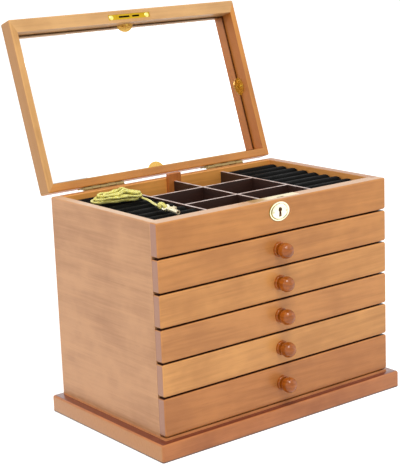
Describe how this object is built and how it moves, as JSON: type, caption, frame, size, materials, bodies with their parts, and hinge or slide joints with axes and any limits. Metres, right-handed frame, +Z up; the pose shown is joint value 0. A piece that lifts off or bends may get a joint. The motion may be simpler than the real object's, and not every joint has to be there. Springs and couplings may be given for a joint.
{
  "type": "jewelry chest with drawers",
  "caption": "Wooden jewelry chest: a stack of shallow drawers with turned knobs under a divided tray, with a hinged mirror lid, a key lock and a wide plinth.",
  "frame": {"origin": "middle of the case's width and depth, on the plinth's underside", "axes": "+Z up, -Y towards the front with the knobs, +X to the right of the front"},
  "size_m": [0.342, 0.3056, 0.4405],
  "materials": {
    "stained_wood": "satin lacquer",
    "knob_wood": "gloss lacquer",
    "inner_wood": "plain sanded",
    "dark_wood": "satin",
    "black_velvet": "velvet pile",
    "brass": "polished",
    "lock_steel": "plain",
    "mirror_glass": "silvered",
    "key_brass": "polished",
    "gold_cord": "twisted shiny thread"
  },
  "bodies": {
    "chest": {"plinth": "stained_wood", "side_left": "stained_wood", "side_right": "stained_wood", "back_panel": "stained_wood", "bottom_board": "stained_wood", "top_front_board": "stained_wood", "inner_front_rail": "stained_wood", "tray_floor": "dark_wood", "dust_panels": "inner_wood", "divider_left": "dark_wood", "divider_middle": "dark_wood", "divider_right": "dark_wood", "cross_divider_front": "dark_wood", "cross_divider_rear": "dark_wood", "ring_pad_left": "black_velvet", "ring_pad_right": "black_velvet", "lid_guide_block": "stained_wood", "lock_body": "brass", "escutcheon": "brass", "hinge_left_case_leaf": "brass", "hinge_right_case_leaf": "brass", "hinge_pins": "brass", "hinge_case_screws": "brass", "key": "key_brass", "cord_strand": "gold_cord", "cord_hank": "gold_cord"},
    "lid": {"lid_front_rail": "stained_wood", "lid_rear_rail": "stained_wood", "lid_stile_left": "stained_wood", "lid_stile_right": "stained_wood", "lid_top_board": "stained_wood", "mirror": "mirror_glass", "mirror_clips": "brass", "clip_nails": "brass", "hinge_left_lid_leaf": "brass", "hinge_right_lid_leaf": "brass", "hinge_lid_screws": "brass", "strike_plate": "brass", "strike_screws": "brass"},
    "hook_bolt": {"lock_hook": "lock_steel"},
    "drawer_1": {"drawer_1_front": "stained_wood", "drawer_1_box": "inner_wood", "drawer_1_lining": "black_velvet", "drawer_1_knob": "knob_wood"},
    "drawer_2": {"drawer_2_front": "stained_wood", "drawer_2_box": "inner_wood", "drawer_2_lining": "black_velvet", "drawer_2_knob": "knob_wood"},
    "drawer_3": {"drawer_3_front": "stained_wood", "drawer_3_box": "inner_wood", "drawer_3_lining": "black_velvet", "drawer_3_knob": "knob_wood"},
    "drawer_4": {"drawer_4_front": "stained_wood", "drawer_4_box": "inner_wood", "drawer_4_lining": "black_velvet", "drawer_4_knob": "knob_wood"},
    "drawer_5": {"drawer_5_front": "stained_wood", "drawer_5_box": "inner_wood", "drawer_5_lining": "black_velvet", "drawer_5_knob": "knob_wood"}
  },
  "joints": [
    {"name": "lid_hinge", "type": "hinge", "parent": "chest", "child": "lid", "pos_m": [0, 0.10175, 0.2504], "axis": [1, 0, 0], "range_deg": [0, 108.6]},
    {"name": "hook_turn", "type": "hinge", "parent": "chest", "child": "hook_bolt", "pos_m": [0.0015, -0.091, 0.2385], "axis": [0, -1, 0], "range_deg": [0, 75]},
    {"name": "drawer_1_slide", "type": "slide", "parent": "chest", "child": "drawer_1", "axis": [0, -1, 0], "range_m": [0, 0.145]},
    {"name": "drawer_2_slide", "type": "slide", "parent": "chest", "child": "drawer_2", "axis": [0, -1, 0], "range_m": [0, 0.145]},
    {"name": "drawer_3_slide", "type": "slide", "parent": "chest", "child": "drawer_3", "axis": [0, -1, 0], "range_m": [0, 0.145]},
    {"name": "drawer_4_slide", "type": "slide", "parent": "chest", "child": "drawer_4", "axis": [0, -1, 0], "range_m": [0, 0.145]},
    {"name": "drawer_5_slide", "type": "slide", "parent": "chest", "child": "drawer_5", "axis": [0, -1, 0], "range_m": [0, 0.145]}
  ]
}
